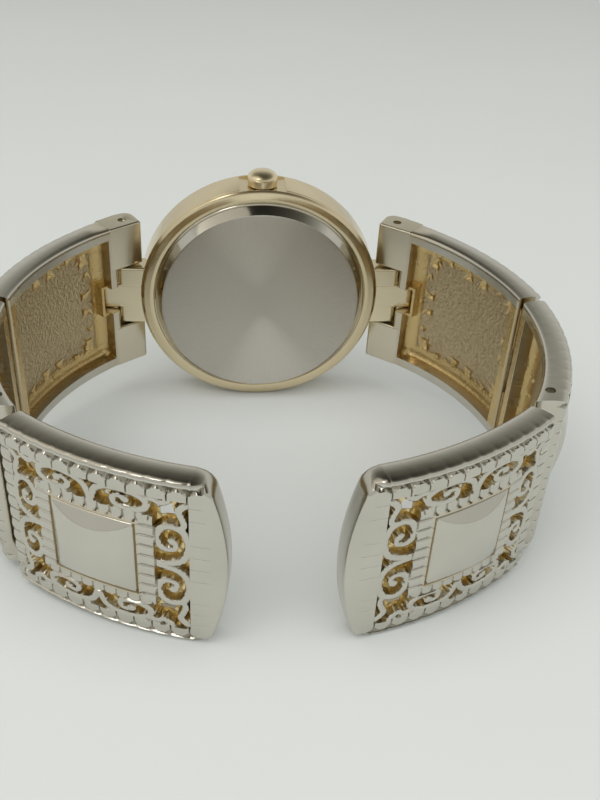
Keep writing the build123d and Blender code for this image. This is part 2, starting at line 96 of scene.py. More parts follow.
# A material under construction: make() adds any node and returns one of its outputs
class Paint:
    def __init__(self, name, tree=None):
        if tree is None:
            self.material = bpy.data.materials.new(name)
            self.material.use_nodes = True
            tree = self.material.node_tree
        self.tree = tree
        self.tree.nodes.clear()
        self.coords = None

    def make(self, kind, settings, *values, out=0, **named):
        node = self.tree.nodes.new(kind)
        for key, value in settings.items():
            if key == "stops":
                self.setStops(node.color_ramp, value)
            else:
                setattr(node, key, value)
        sockets = [s for s in node.inputs if s.enabled]
        for socket, value in list(zip(sockets, values)) + [(node.inputs[k], v) for k, v in named.items()]:
            if isinstance(value, Wire):
                self.tree.links.new(value.socket, socket)
            else:
                socket.default_value = value
        if out is None:
            return None
        outputs = [s for s in node.outputs if s.enabled]
        return Wire(self, outputs[out] if isinstance(out, int) else node.outputs[out])

    def setStops(self, ramp, stops):
        while len(ramp.elements) < len(stops):
            ramp.elements.new(0.5)
        for element, (place, tint) in zip(ramp.elements, stops):
            element.position = place
            element.color = colour(tint)

    def where(self):
        if self.coords is None:
            self.coords = self.make("ShaderNodeTexCoord", {}, out="Object")
        return self.coords

    def noise(self, scale, detail=3.0, roughness=0.55, at=None):
        return self.make("ShaderNodeTexNoise", {}, at or self.where(), Scale=scale, Detail=detail,
                         Roughness=roughness)

    def mix(self, share, first, second):
        return self.make("ShaderNodeMix", {"data_type": "RGBA"}, share, colour(first), colour(second))

    def vector(self, operation, *values, out=0):
        return self.make("ShaderNodeVectorMath", {"operation": operation}, *values, out=out)

    def attribute(self, name):
        return self.make("ShaderNodeAttribute", {"attribute_name": name}, out="Fac")

    def bump(self, height, strength, distance):
        return self.make("ShaderNodeBump", {}, Strength=strength, Distance=distance, Height=height)

    def shader(self, **named):
        fixed = {k.replace("_", " "): colour(v) for k, v in named.items()}
        return self.make("ShaderNodeBsdfPrincipled", {}, out="BSDF", **fixed)

    def finish(self, **named):
        self.make("ShaderNodeOutputMaterial", {}, self.shader(**named), out=None)
        return self.material


def colour(value):
    return (*value, 1) if isinstance(value, tuple) and len(value) == 3 else value


# Panels: silver, gold in pits and trays, and an aged stipple on the trays' floors; the deeper parts of the pits take
# a paler gold, which is painted light. Vertex fields say where
plating = {"silver": ((0.54, 0.518, 0.456), (0.64, 0.618, 0.555)), "gold": ((0.56, 0.41, 0.18), (0.72, 0.55, 0.28)),
           "aged": ((0.38, 0.30, 0.17), (0.70, 0.585, 0.40)), "pit": ((0.62, 0.48, 0.22), (0.86, 0.72, 0.42)),
           "cloud": 180.0, "fleck": 1500.0, "grain": 2300.0, "ageing": (0.42, 0.9), "rough": 0.16,
           "cloudRough": 0.07, "stippleRough": 0.2, "plainGrain": 0.02, "bump": 0.9, "relief": 0.00017}


def panelPaint():
    paint = Paint("silverAndGold")
    gilt, deep, stipple = (paint.attribute(name) for name in ("gilt", "deep", "stipple"))
    cloud = paint.noise(plating["cloud"])
    silver, gold, pit = (paint.mix(cloud, *plating[key]) for key in ("silver", "gold", "pit"))
    aged = paint.mix(paint.noise(plating["fleck"]), *plating["aged"])
    warm = paint.mix(stipple.ramp(*plating["ageing"]), gold, aged)
    # Painted light: where the deep field is high, the gold turns to the paler pit gold
    tint = paint.mix(gilt, silver, paint.mix(deep, warm, pit))
    rough = plating["rough"] + plating["cloudRough"] * cloud + plating["stippleRough"] * stipple
    share = plating["plainGrain"] + (1 - plating["plainGrain"]) * stipple
    relief = paint.bump(paint.noise(plating["grain"], 2.0) * share, plating["bump"], plating["relief"])
    return paint.finish(Base_Color=tint, Metallic=1.0, Roughness=rough, Normal=relief)


# Polished plating: slow clouds of colour under a very fine grain
polish = {"cloud": 160.0, "grain": 3000.0, "bump": 0.12, "relief": 0.00002, "cloudRough": 0.05}


def goldPaint(name, dark, light, rough):
    paint = Paint(name)
    cloud = paint.noise(polish["cloud"])
    relief = paint.bump(paint.noise(polish["grain"], 2.0), polish["bump"], polish["relief"])
    return paint.finish(Base_Color=paint.mix(cloud, dark, light), Metallic=1.0,
                        Roughness=rough + polish["cloudRough"] * cloud, Normal=relief)


# Case back: streaks that depend only on the angle about the case axis, and a painted sheen: the colour is brighter in
# two lobes up and down, in place of the brushed steel's reflection
sunburst = {"plain": ((0.46, 0.43, 0.38), (0.58, 0.55, 0.495)), "paintedSheen": ((0.57, 0.54, 0.485), (0.69, 0.66, 0.60)),
            "streak": (55.0, 6.0, 0.75), "broad": (2.2, 1.0, 0.5), "axis": (-0.12, 0.0, 0.99), "lobe": (0.62, 1.0),
            "rough": 0.27, "streakRough": 0.1, "broadRough": 0.05, "bump": 0.8, "relief": 0.00004}


def backPaint():
    paint = Paint("sunburstSteelPaintedSheen")
    low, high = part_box("case_back")
    offset = paint.vector("SUBTRACT", paint.where(), tuple((low + high) / 2))
    spoke = paint.vector("NORMALIZE", offset)
    streak = paint.noise(*sunburst["streak"], spoke)
    broad = paint.noise(*sunburst["broad"], spoke)
    # Painted sheen: the lobes along the axis get a lighter base colour, standing in for a reflection
    lobe = paint.vector("DOT_PRODUCT", spoke, sunburst["axis"], out="Value")
    sheen = (lobe * lobe).ramp(*sunburst["lobe"])
    tint = paint.mix(sheen, paint.mix(streak, *sunburst["plain"]), paint.mix(streak, *sunburst["paintedSheen"]))
    rough = sunburst["rough"] + sunburst["streakRough"] * streak + sunburst["broadRough"] * broad
    relief = paint.bump(streak, sunburst["bump"], sunburst["relief"])
    return paint.finish(Base_Color=tint, Metallic=1.0, Roughness=rough, Normal=relief)


def plainPaint(name, dark, light, metallic, rough, scale=300.0, cloudRough=0.08):
    paint = Paint(name)
    cloud = paint.noise(scale)
    return paint.finish(Base_Color=paint.mix(cloud, dark, light), Metallic=metallic,
                        Roughness=rough + cloudRough * cloud)


glass = {"smudge": 90.0, "rough": 0.02, "index": 1.5}


def glassPaint():
    paint = Paint("crystalGlass")
    return paint.finish(Base_Color=(1.0, 1.0, 1.0), Roughness=paint.noise(glass["smudge"]) * glass["rough"],
                        Transmission_Weight=1.0, IOR=glass["index"])


paints = {
    "silver_panel": panelPaint(),
    "gold_case": goldPaint("caseGold", (0.70, 0.59, 0.385), (0.80, 0.69, 0.48), 0.15),
    # Painted light: the lugs are the case's own metal, given a lighter gold that stands for the extra light they
    # catch
    "lug_gold_painted_light": goldPaint("lugGoldPaintedLight", (0.84, 0.74, 0.52), (0.94, 0.85, 0.64), 0.18),
    "back_steel": backPaint(),
    "back_polish": goldPaint("backPolish", (0.55, 0.53, 0.47), (0.66, 0.64, 0.58), 0.1),
    "wrap_gold": goldPaint("paleGold", (0.60, 0.55, 0.43), (0.70, 0.65, 0.52), 0.2),
    "crown_gold": goldPaint("crownGold", (0.82, 0.70, 0.46), (0.94, 0.82, 0.58), 0.27),
    "hinge_gold": goldPaint("hingeGold", (0.70, 0.54, 0.30), (0.84, 0.68, 0.42), 0.2),
    "crystal_glass": glassPaint(),
    "dial_paint": plainPaint("champagneDial", (0.84, 0.78, 0.64), (0.90, 0.845, 0.71), 0.2, 0.42, 900.0),
    "gold_trim": goldPaint("goldTrim", (0.76, 0.56, 0.26), (0.90, 0.70, 0.38), 0.12),
    "movement_brass": plainPaint("movementBrass", (0.62, 0.52, 0.30), (0.72, 0.62, 0.38), 1.0, 0.33),
    "cover_steel": plainPaint("coverSteel", (0.58, 0.58, 0.57), (0.68, 0.68, 0.67), 1.0, 0.3),
    "pin_steel": plainPaint("pinSteel", (0.60, 0.59, 0.57), (0.72, 0.71, 0.69), 1.0, 0.22),
    "coil_copper": plainPaint("coilCopper", (0.55, 0.22, 0.09), (0.70, 0.32, 0.14), 0.8, 0.35, 2500.0),
    "holder_plastic": plainPaint("holderPlastic", (0.74, 0.73, 0.69), (0.80, 0.79, 0.76), 0.0, 0.55),
}
for row in frame["record"]["subparts"]:
    node = frame["nodes"][row["node"]]
    node.data.materials.clear()
    node.data.materials.append(paints[row["material_slot"]])
print("materials ready")


def toPart(points):
    # From the upright bracelet in millimetres to the part's frame in metres
    points = np.asarray(points, float)
    lean = math.radians(stand["lean"])
    y = stand["y"] + math.cos(lean) * points[:, 1] - math.sin(lean) * points[:, 2]
    z = stand["z"] + math.sin(lean) * points[:, 1] + math.cos(lean) * points[:, 2]
    return np.stack([points[:, 0], y, z], axis=1) * mm


def plainObject(name, points, faces):
    mesh = bpy.data.meshes.new(name)
    mesh.from_pydata(toPart(points).tolist(), [], faces)
    thing = bpy.data.objects.new(name, mesh)
    bpy.context.collection.objects.link(thing)
    return thing


def addPiece(name, points, faces, body, slot, stands=(), fields=None, crease=38, paint=None):
    piece = plainObject(name, points, faces)
    mesh = piece.data
    for key, values in (fields or {}).items():
        mesh.attributes.new(key, "FLOAT", "POINT").data.foreach_set("value", np.asarray(values, np.float32))
    mesh.materials.append(paints[paint or slot])
    mesh.shade_smooth()
    mesh.set_sharp_from_angle(angle=math.radians(crease))
    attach(piece, body)
    if stands:
        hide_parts(*stands)
    return piece


def addPair(name, points, faces, body, slot, stands=(), **more):
    # The right piece as drawn, and its mirror image on the left
    points = np.asarray(points, float)
    flipped = [tuple(reversed(face)) for face in faces]
    for (prefix, mirror), turns in zip(sides, (faces, flipped)):
        addPiece(prefix + name, points * (mirror, 1, 1), turns, prefix + "_" + body, slot,
                 [prefix + "_" + node for node in stands], **more)


# Bracelet panels in millimetres: run along the arc, height across the band, offset out from the outer face.
# Pairs are for the first and last end: shifts of the panel's and its tray's ends, the channel's reach from the
# square's middle, and the recess for the neighbour's knuckle. A pit opens at "hole" inside its walls
panels = {
    "InnerPanel": {"body": "inner", "heading": -56.5, "chord": 25.4, "radius": 34.7,
                   "ends": (2.0, -0.5), "hollow": (3.4, -2.2), "slant": (0.0, 0.0), "middle": 13.886,
                   "reach": (9.41, 9.41), "recess": (None, (0.0, 3.4)), "free": False, "wrap": True,
                   "pit": 0.72, "hole": 0.74, "dimple": 0.28},
    "SidePanel": {"body": "side", "heading": -101.1, "chord": 22.8, "radius": 34.5,
                  "ends": (0.5, -2.0), "hollow": (2.2, 9.0), "slant": (0.0, 1.85), "middle": 10.893,
                  "reach": (9.41, 9.41), "recess": ((3.2, 9.65), None), "free": False, "wrap": False,
                  "pit": 0.72, "hole": 0.74, "dimple": 0.28},
    "EndPanel": {"body": "end", "heading": -152.9, "chord": 23.9, "radius": 46.0,
                 "ends": (0.9, 0.0), "hollow": (3.1, -1.85), "slant": (0.5, 0.0), "middle": 12.1,
                 "reach": (10.12, 10.6), "recess": (None, None), "free": True, "wrap": False,
                 "pit": 1.08, "hole": 0.52, "dimple": 0.0},
}
# "line" is half an engraved line's width, and "stops" are more heights that the grid hits
band = {"half": 11.15, "thick": 3.4, "edge": 0.4, "freeEdge": 0.6, "bow": 2.0, "corner": 1.3, "spare": 0.0005,
        "line": 0.09}
grid = {"cell": 0.15, "margin": 0.04, "least": 0.045, "stops": [2.0, 2.5, 3.2, 3.4, 4.7], "snap": 0.5,
        "steepness": (0.5, 1.6)}
# Ladder: ribs with round tips along both rails, and sunk ground between them and the beads
ladder = {"start": 9.1, "wide": 2.05, "pitch": 1.95, "fall": 0.25, "tip": 9.88, "scallop": 0.56, "bead": 10.66,
          "lead": 0.05, "wall": 0.15, "sunk": 0.7, "overrun": 0.1, "groove": 0.3, "round": 0.1, "notch": 0.07,
          "notchHalf": 0.5, "notchFrom": (10.3, 0.35)}
# Borders: ribs across both ends, or on the free end short lines only
border = {"rungs": np.arange(-8.4, 8.5, 1.68), "half": 0.84, "line": 0.2, "round": 0.18, "freeLine": 0.05,
          "freeLong": 0.95, "freeFade": 0.25}
# Square: a puffed stud in a gap, a thin lip round it, and a frame of ribs
square = {"stud": 4.85, "gap": 5.0, "lip": 5.28, "along": 6.85, "up": 6.45, "ribs": np.arange(-4.5, 4.6, 1) * 1.42,
          "half": 0.71, "line": 0.14, "sunk": 0.04, "round": 0.2, "lipHigh": 0.04, "gapDeep": 0.28, "rise": 1.4,
          "slope": 0.76}
scroll = {"wall": 0.12, "wide": 0.41, "narrow": 0.25, "taper": (0.7, 0.3), "eye": 0.45, "eyeFrom": 0.97,
          "top": -0.03, "round": 0.17, "shoulder": 0.37, "wave": (4, 5, 0.05), "seam": 0.22, "seamWide": 0.16,
          "upStretch": 1.06, "endStretch": 0.93,
          "leaf": (0.3, 0.42), "near": 3, "far": 9.0, "steps": 4}
# One volute of a side: along it from its middle, and across it as a share of the channel's width. The leaf runs
# from the volute's shoulder into the corner
volute = [(0.0, -0.52), (0.12, -0.36), (0.24, -0.17), (0.64, 0.16), (1.45, 0.38), (2.57, 0.47), (3.86, 0.47),
          (5.06, 0.37), (5.79, 0.14), (5.79, -0.14), (4.98, -0.35), (3.86, -0.42), (2.81, -0.33), (2.41, -0.12),
          (2.65, 0.08), (3.2, 0.13), (3.75, 0.02)]
leafShoulder = [(5.3, 0.30), (6.6, 0.36)]
leafTip = [(7.7, 0.22), (8.5, 0.42)]
# Tray on the wrist side. A pair here is where a fade starts and how wide it is
tray = {"rail": 9.65, "floor": -1.25, "wall": 0.15, "fillet": 1.1, "spread": 1.6, "steep": 0.98,
        "level": (-0.25, 0.2), "dimple": (0.25, 0.4), "curl": (0.1, 0.25), "curlDeep": 0.06, "curlInside": 0.5,
        "open": 0.3, "stipple": (1.7, 0.5), "bare": (0.05, 0.2), "bareShare": 0.8}
# The inner panel swells towards the lug, and its end is notched for the case's tongue: half height, run, offset
wrap = {"swell": 0.42, "long": 7.0, "bulge": (3.0, 3.0), "step": (2.5, 4.85, -2.7), "slot": (2.0, 4.3, -0.35)}
gilding = {"pit": (0.02, 0.1), "hem": 0.3, "tray": (-3.2, 0.3), "deep": (0.55, 0.4), "grain": 0.4,
           "warm": 0.28, "warmRun": (2.5, 6.0), "joint": 0.5, "frontJoint": 0.1, "jointFrom": 0.5}
# Side walls: depths of the first rows for an edge of that radius, and the rows in all
wall = {"levels": (0.05, 0.14, 0.3, 0.6), "radius": 0.3, "rows": 12, "spare": 0.05, "first": 0.1, "bulge": 0.22,
        "recess": 1.4, "recessGap": 0.5, "slantLong": 2.2}
tiny = 1e-6


def smoothstep(x):
    x = np.clip(x, 0, 1)
    return x * x * (3 - 2 * x)


def fade(x, start, width):
    return smoothstep((x - start) / width)


def smoothLine(points):
    # A smooth cubic line through given points
    p = np.asarray(points, float)
    p = np.vstack([2 * p[0] - p[1], p, 2 * p[-1] - p[-2]])
    out = []
    for k in range(1, len(p) - 2):
        for t in np.linspace(0, 1, scroll["steps"], endpoint=False):
            a = 2 * p[k] + (p[k + 1] - p[k - 1]) * t
            b = (2 * p[k - 1] - 5 * p[k] + 4 * p[k + 1] - p[k + 2]) * t * t
            c = (3 * p[k] - p[k - 1] - 3 * p[k + 1] + p[k + 2]) * t ** 3
            out.append((a + b + c) / 2)
    return np.array(out + [p[-2]])


def ribbonDistance(s, h, line, widths):
    # Distance to the edge of a ribbon, less than zero on it
    best = np.full(s.shape, scroll["far"])
    for (a, b), (wa, wb) in zip(zip(line[:-1], line[1:]), zip(widths[:-1], widths[1:])):
        step = b - a
        near = (np.abs(s - a[0]) < scroll["near"]) & (np.abs(h - a[1]) < scroll["near"])
        ds, dh = s[near] - a[0], h[near] - a[1]
        t = np.clip((ds * step[0] + dh * step[1]) / max(step @ step, tiny), 0, 1)
        gap = np.hypot(ds - t * step[0], dh - t * step[1]) - (wa + (wb - wa) * t)
        best[near] = np.minimum(best[near], gap)
    return best


def scrollLines(panel):
    # Centre lines and half widths of all ribbons of one panel, in pattern coordinates
    lines = []
    upMiddle, upWide = (square["up"] + ladder["start"]) / 2, ladder["start"] - square["up"]
    channels = [(turn, upMiddle, upWide, scroll["upStretch"]) for turn in (0, 180)]
    for turn, reach in zip((90, -90), panel["reach"]):
        channels.append((turn, (square["along"] + reach) / 2, reach - square["along"], scroll["endStretch"]))
    for turn, middle, wide, stretch in channels:
        cos, sin = math.cos(math.radians(turn)), math.sin(math.radians(turn))
        spin = np.array([[cos, sin], [-sin, cos]])
        for sign in (1, -1):
            line = smoothLine([(sign * u * stretch, middle + v * wide) for u, v in volute]) @ spin
            share = np.linspace(0, 1, len(line))
            widths = scroll["wide"] - (scroll["wide"] - scroll["narrow"]) * fade(share, *scroll["taper"])
            lines.append((line, np.where(share > scroll["eyeFrom"], scroll["eye"], widths)))
            leaf = [(sign * u * stretch, middle + v * wide) for u, v in leafShoulder]
            leaf += [(sign * u, middle + v * wide) for u, v in leafTip]
            line = smoothLine(leaf) @ spin
            lines.append((line, np.linspace(*scroll["leaf"], len(line))))
    return lines


def gridLines(low, high, marks):
    # Sorted coordinates from low to high that hit every mark, about a cell apart
    margin = grid["margin"]
    stops = [low] + sorted(m for m in set(np.round(marks, 4)) if low + margin < m < high - margin) + [high]
    kept = [low]
    for stop in stops[1:]:
        if stop - kept[-1] > grid["least"]:
            kept.append(stop)
    kept[-1] = high
    out = [low]
    for a, b in zip(kept[:-1], kept[1:]):
        count = max(1, round((b - a) / grid["cell"]))
        out += list(a + (b - a) * np.arange(1, count + 1) / count)
    return np.array(out)


def wedge(x, centres, half):
    # 1 at each centre, falling to 0 at half on both sides
    nearest = np.min(np.abs(x[..., None] - np.asarray(centres)), axis=-1)
    return np.clip(1 - nearest / half, 0, 1)


def ribDrop(x, lines, row):
    # Rounded ribs with an engraved line between each two of them
    return wedge(x, lines, band["line"]) * row["line"] + row["round"] * (
        1 - wedge(x, lines + row["half"], row["half"])) ** 2


def planOf(panel, start):
    # Fits the panel's arc over its chord, and returns where the chord stops
    middleRadius = panel["radius"] - band["thick"] / 2
    heading = math.radians(panel["heading"])
    half = math.asin(panel["chord"] / 2 / middleRadius)
    outward = heading + math.pi / 2
    middle = [start[0] + panel["chord"] / 2 * math.cos(heading), start[1] + panel["chord"] / 2 * math.sin(heading)]
    back = middleRadius * math.cos(half)
    length = 2 * half * middleRadius
    panel.update(start=start, middleRadius=middleRadius, scale=panel["radius"] / middleRadius, length=length,
                 turn=outward + half, low=panel["ends"][0], high=length + panel["ends"][1],
                 centre=(middle[0] - back * math.cos(outward), middle[1] - back * math.sin(outward)),
                 tray=(panel["hollow"][0], length + panel["hollow"][1]))
    return (start[0] + panel["chord"] * math.cos(heading), start[1] + panel["chord"] * math.sin(heading))


def bend(panel, run, height, offset):
    angle = panel["turn"] - run / panel["middleRadius"]
    reach = panel["radius"] + offset
    x = panel["centre"][0] + reach * np.cos(angle)
    y = panel["centre"][1] + reach * np.sin(angle)
    return np.stack([x, y, height], -1)


def grooveRuns(panel):
    # An even number of ladder ribs fills the panel's whole arc
    count = 2 * round(panel["length"] / ladder["pitch"] / 2)
    return np.arange(count + 1) * panel["length"] / count


def ladderDrop(run, up, pitch):
    fromGroove = np.abs((run / pitch + 0.5) % 1 - 0.5) * pitch
    swell = np.abs(1 - 2 * fromGroove / pitch)
    tip = ladder["tip"] + ladder["scallop"] * np.sin(np.pi * fromGroove / pitch)
    sunk = smoothstep(np.minimum(up - tip + ladder["lead"], ladder["bead"] - up) / ladder["wall"])
    groove = np.clip(1 - fromGroove / band["line"], 0, 1) * (up < tip + ladder["overrun"])
    notch = np.clip(1 - fromGroove / ladder["notchHalf"], 0, 1) * fade(up, *ladder["notchFrom"])
    fall = ladder["fall"] * ((up - ladder["start"]) / ladder["wide"]) ** 2
    cut = np.maximum(groove * ladder["groove"], sunk * ladder["sunk"])
    return fall + cut + notch * ladder["notch"] + ladder["round"] * swell ** 4 * (up < tip)


def squareRise(s, h):
    # Height of the frame, lip, gap and stud, and how far each point is outside the square
    up, along = np.abs(h), np.abs(s)
    outside = np.maximum(up - square["up"], along - square["along"])
    fromMiddle = np.maximum(up, along)
    steps = [fromMiddle <= square[key] + tiny for key in ("stud", "gap", "lip")] + [outside < tiny]
    onStud = steps[0]
    inGap, onLip, onFrame = (wide & ~narrow for narrow, wide in zip(steps[:-1], steps[1:]))
    across = np.where(up / square["up"] > along / square["along"], s, h)
    z = onLip * square["lipHigh"] - inGap * square["gapDeep"]
    z = z - onFrame * (ribDrop(across, square["ribs"], square) + square["sunk"])
    dome = square["rise"] * (1 - (s * s + h * h) / (2 * square["stud"] ** 2))
    side = (square["stud"] - fromMiddle) * square["slope"]
    return z + onStud * np.maximum(np.minimum(dome, side), 0), outside


def relief(panel, run, s, h):
    # Height of the outer face above its arc, and how far inside a scroll pit each point is
    up = np.abs(h)
    first, last = panel["reach"]
    onLadder = up > ladder["start"] - tiny
    z, outside = squareRise(s, h)
    z = z - onLadder * ladderDrop(run, up, grooveRuns(panel)[1])
    onFirst, onLast = ~onLadder & (s < -first), ~onLadder & (s > last)
    if panel["free"]:
        short = smoothstep(1 - (s - last - border["freeLong"]) / border["freeFade"])
        z = z - onLast * wedge(h, border["rungs"], band["line"]) * border["freeLine"] * short
        onLast = False
    z = z - (onFirst | onLast) * ribDrop(h, border["rungs"], border)
    # Scroll work in the channel round the square
    channel = (outside > tiny) & ~onLadder & (s > -first - tiny) & (s < last + tiny)
    walls = np.minimum(np.minimum(ladder["start"] - up, outside), np.minimum(s + first, last - s))
    ribbon = np.full(s.shape, scroll["far"])
    for line, widths in scrollLines(panel):
        ribbon = np.minimum(ribbon, ribbonDistance(s, h, line, widths))
    pit = np.minimum(np.where(channel, walls, -scroll["far"]), ribbon)
    rounded = scroll["top"] - scroll["round"] * np.clip(1 + ribbon / scroll["shoulder"], 0, 1) ** 2
    across, along, high = scroll["wave"]
    depth = panel["pit"] + high * np.sin(s * along) * np.sin(h * across) - scroll["round"]
    z = np.where(channel, rounded - depth * smoothstep(pit / scroll["wall"]), z)
    seam = channel & (outside < scroll["seamWide"]) & (ribbon < 0)
    return z - seam * scroll["seam"], pit


def swellOf(run):
    return wrap["swell"] * (1 - smoothstep(run / wrap["long"]))


def gridOf(panel):
    # Runs and heights of the sheets' grid, with a line on each step of the relief and of the tray
    fine = np.array((-band["line"], 0, band["line"]))
    steps = [square[key] for key in ("stud", "gap", "lip")]
    ribs = list((square["ribs"][:, None] + fine).ravel())
    alongs = [-panel["reach"][0], panel["reach"][1]] + ribs
    alongs += [sign * step for step in steps + [square["along"]] for sign in (1, -1)]
    runs = list((grooveRuns(panel)[:, None] + fine).ravel()) + [wrap["step"][1], wrap["slot"][1]]
    runs += [panel["tray"][0], panel["tray"][0] + tray["wall"], panel["tray"][1], panel["tray"][1] - tray["wall"]]
    runs += [panel["middle"] + s / panel["scale"] for s in alongs]
    ups = steps + [square["up"], ladder["start"], tray["rail"], tray["rail"] - tray["wall"]] + grid["stops"]
    ups += ribs + list((border["rungs"][:, None] + fine).ravel())
    lastEdge = band["freeEdge"] if panel["free"] else band["edge"]
    top = band["half"] - band["edge"]
    return (gridLines(panel["low"] + band["edge"], panel["high"] - lastEdge, runs),
            gridLines(-top, top, ups + [-up for up in ups]))


def snapped(panel, run, h, pit, runs, heights):
    # Grid points moved onto the ribbons' edges and the rims of the holes, so that these come out smooth
    dRun, dH = np.gradient(pit, runs, heights)
    size = np.hypot(dRun, dH) + tiny
    least, most = grid["steepness"]
    for level in (panel["hole"], 0.0):
        off = pit - level
        close = (np.abs(off) < grid["snap"] * grid["cell"]) & (size > least) & (size < most)
        run = np.where(close, run - off * dRun / size ** 2, run)
        h = np.where(close, h - off * dH / size ** 2, h)
    return run, h, close


def trayOf(panel, run, up, pit):
    # Rails, end walls, and a sunk floor with a fillet round it. The scrolls show as soft curls and dimples
    toEnds = np.minimum(run - panel["tray"][0], panel["tray"][1] - run)
    toRails = tray["rail"] - up
    inside = np.minimum(toEnds, toRails)
    fromWall = [np.clip(1 - gap / tray["fillet"] / tray["spread"], 0, 1) for gap in (toEnds, toRails)]
    rest = np.clip(1 - np.hypot(*fromWall), 0, 1)
    cove = tray["fillet"] * (1 - np.sqrt(1 - (1 - rest) ** 2 * tray["steep"]))
    z = -band["thick"] + (band["thick"] + tray["floor"] - cove) * smoothstep(inside / tray["wall"])
    if panel["wrap"]:
        half, long, offset = wrap["step"]
        z = np.where((up < half) & (run < long), np.minimum(z, offset), z)
        half, long, offset = wrap["slot"]
        z = np.where((up < half) & (run < long), offset, z)
    onFloor = fade(z - tray["floor"], *tray["level"])
    z = z + (inside > tray["curlInside"]) * onFloor * tray["curlDeep"] * fade(pit, *tray["curl"])
    z = z + panel["dimple"] * fade(pit, *tray["dimple"]) * onFloor
    stipple = fade(inside, *tray["stipple"]) * (1 - tray["bareShare"] * fade(pit, *tray["bare"]))
    return z, inside, stipple


def keptCells(panel, pit, inside):
    # Cells of the grid that aren't pierced
    cellPit = (pit[:-1, :-1] + pit[1:, :-1] + pit[:-1, 1:] + pit[1:, 1:]) / 4
    cellInside = (inside[:-1, :-1] + inside[1:, 1:]) / 2
    keep = ~((cellPit > panel["hole"]) & (cellInside > tray["open"]))
    # Two open cells that meet at a corner only would leave an edge with four faces
    for slide in (1, -1):
        a, b = keep[:, ::slide][:-1, :-1], keep[:, ::slide][1:, 1:]
        c, d = keep[:, ::slide][:-1, 1:], keep[:, ::slide][1:, :-1]
        c |= a & b & ~c & ~d
    return keep


def bowed(panel, run, h):
    # A free end stretched to its bowed edge, and how far round its corners each point is
    radius = band["corner"]
    corner = np.clip((np.abs(h) + band["edge"] - band["half"] + radius) / radius, 0, 1) * (1 - band["spare"])
    bow = band["bow"] * (1 - (h / band["half"]) ** 2) - radius * (1 - np.sqrt(1 - corner ** 2))
    start = panel["tray"][1]
    return run + bow * np.clip((run - start) / (panel["high"] - band["freeEdge"] - start), 0, 1), corner


def wallDepths(tall, radius):
    # Depths of a side wall's rows, close together round its two edges
    near = [x * (radius / wall["radius"]) for x in wall["levels"]]
    near = [depth for depth in near if depth < tall / 2 - wall["spare"]]
    first = near[-1] if near else wall["first"]
    middle = np.linspace(first, tall - first, wall["rows"] - 2 * len(near))[1:-1]
    return near + list(middle) + [tall - depth for depth in reversed(near)]


def roundOut(radius, depth, tall):
    # How far a wall with round edges stands out at a depth
    drop = min(depth, tall - depth, radius)
    return math.sqrt(max(radius ** 2 - (radius - drop) ** 2, 0))


def recessIn(offset):
    # How far a hollow for a round knuckle cuts into an end wall
    fromPin = offset + band["thick"] / 2
    if abs(fromPin) >= wall["recess"]:
        return 0
    return max(math.sqrt(wall["recess"] ** 2 - fromPin ** 2) - wall["recessGap"], 0)


def wallColumns(panel, run, h, outer, inner, warmth, corner):
    # A column of points down the side wall at each vertex on the sheets' rim, with their gilt
    nRun, nH = run.shape
    columns, rows, gilts = {}, [], []
    for i, j in ((i, j) for i in range(nRun) for j in range(nH) if i in (0, nRun - 1) or j in (0, nH - 1)):
        tall = outer[i, j] - inner[i, j]
        outRun, outUp = (i == nRun - 1) - (i == 0), (j == nH - 1) - (j == 0)
        atFree = panel["free"] and outRun > 0
        radius = band["freeEdge"] if atFree else band["edge"]
        depths = wallDepths(tall, radius)
        inJoint = outRun != 0 and outUp == 0 and not atFree
        jointGilt = gilding["frontJoint" if panel["free"] or (i and not panel["wrap"]) else "joint"]
        recess = {0: panel["recess"][0], nRun - 1: panel["recess"][1]}.get(i)
        if atFree:
            outUp = math.copysign(corner[i, j], h[i, j])
            outRun = math.sqrt(1 - outUp ** 2)
        fullness = fade(run[i, j], *wrap["bulge"]) if panel["wrap"] else 1
        ids = [i * nH + j]
        for depth in depths:
            bulge = wall["bulge"] * 4 * depth * (tall - depth) / tall ** 2 * fullness
            u = run[i, j] + outRun * roundOut(radius, depth, tall)
            v = h[i, j] + outUp * (roundOut(band["edge"], depth, tall) + bulge)
            if recess and recess[0] <= abs(v) <= recess[1]:
                u -= outRun * recessIn(outer[i, j] - depth)
            ids.append(2 * run.size + len(rows))
            rows.append((u, v, outer[i, j] - depth))
            gilts.append(jointGilt if inJoint and depth > gilding["jointFrom"] else warmth[i, j])
        columns[ids[0]] = ids + [ids[0] + run.size]
    return columns, rows, gilts


def skin(keep, columns):
    # Faces of both sheets, and the walls round the rim and in the piercings
    shape = (keep.shape[0] + 1, keep.shape[1] + 1)
    total = shape[0] * shape[1]
    ids = np.arange(total).reshape(shape)
    a, b, c, d = ids[:-1, :-1], ids[:-1, 1:], ids[1:, 1:], ids[1:, :-1]
    quads = np.stack([a, b, c, d], -1)[keep]
    faces = quads.tolist() + (quads[:, ::-1] + total).tolist()
    around = np.pad(keep, 1)
    for first, second, other in ((a, b, around[:-2, 1:-1]), (b, c, around[1:-1, 2:]),
                                 (c, d, around[2:, 1:-1]), (d, a, around[1:-1, :-2])):
        bare = keep & ~other
        for p, q in zip(first[bare].tolist(), second[bare].tolist()):
            if p in columns and q in columns:
                here, there = columns[p], columns[q]
                faces += [[there[k], here[k], here[k + 1], there[k + 1]] for k in range(len(here) - 1)]
            else:
                faces.append([q, p, p + total, q + total])
    return np.array(faces)


